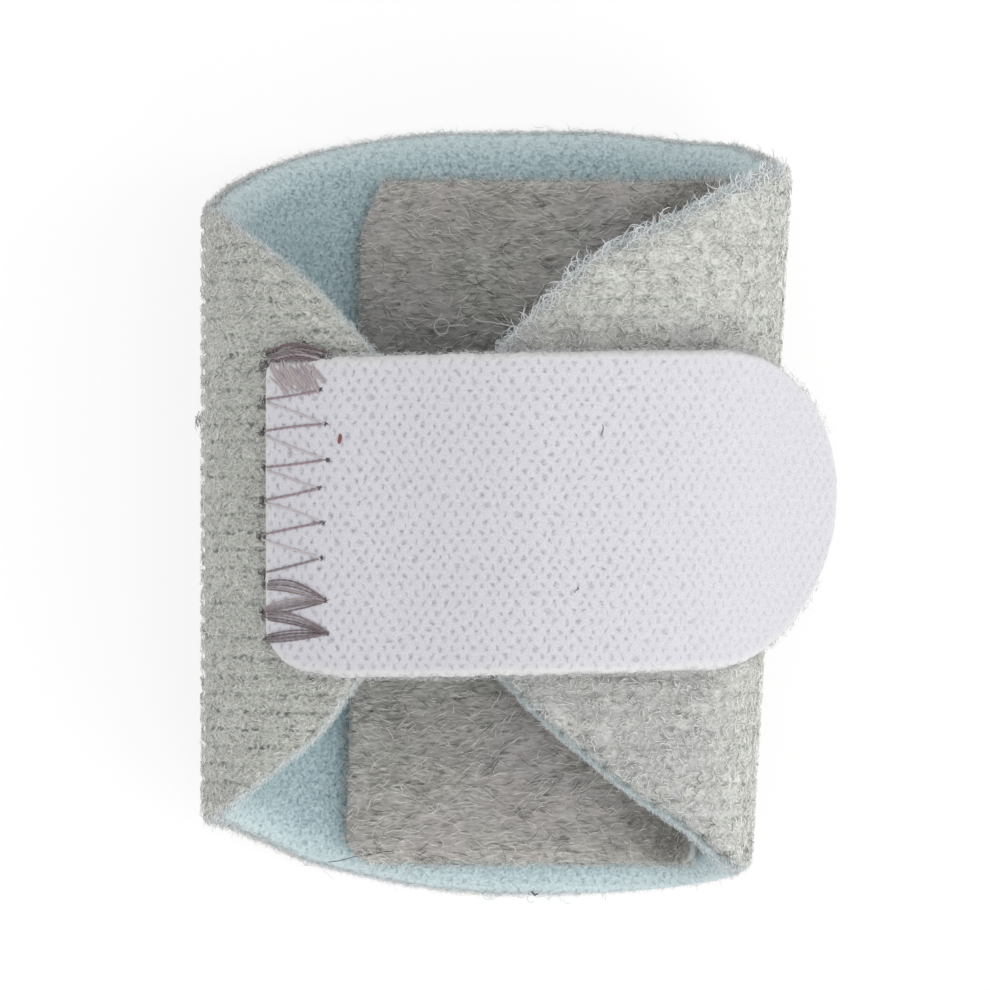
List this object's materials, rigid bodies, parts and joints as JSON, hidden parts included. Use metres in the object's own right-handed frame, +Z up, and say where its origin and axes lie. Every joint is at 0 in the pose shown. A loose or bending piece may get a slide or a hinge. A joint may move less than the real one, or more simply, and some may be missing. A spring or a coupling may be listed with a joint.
{
  "type": "finger splint",
  "caption": "Padded finger splint: a pile-faced laminate rolled into an open-ended sleeve, lined inside, with a pocket patch on the back panel and a round-ended strap.",
  "frame": {"origin": "middle of the flat strip under the back panel, which the splint rests on", "axes": "+X across the splint towards the strap's free end, +Y along the finger towards its tip, +Z up through the closed front"},
  "size_m": [0.0404, 0.049, 0.0246],
  "materials": {
    "outer_pile": "light grey loop pile with short loose fibres and fine ribs round the girth",
    "lining": "pale blue brushed knit with small pits",
    "pocket_pile": "warm grey long-fibred pile lying across the patch",
    "strap": "off-white knitted loop tape with rows of small grey dots",
    "hook": "off-white woven hook tape"
  },
  "bodies": {
    "root": {"outer_wrap": "outer_pile", "lining": "lining", "splint_pocket": "pocket_pile", "strap": "strap", "hook_tab": "hook"}
  },
  "joints": []
}
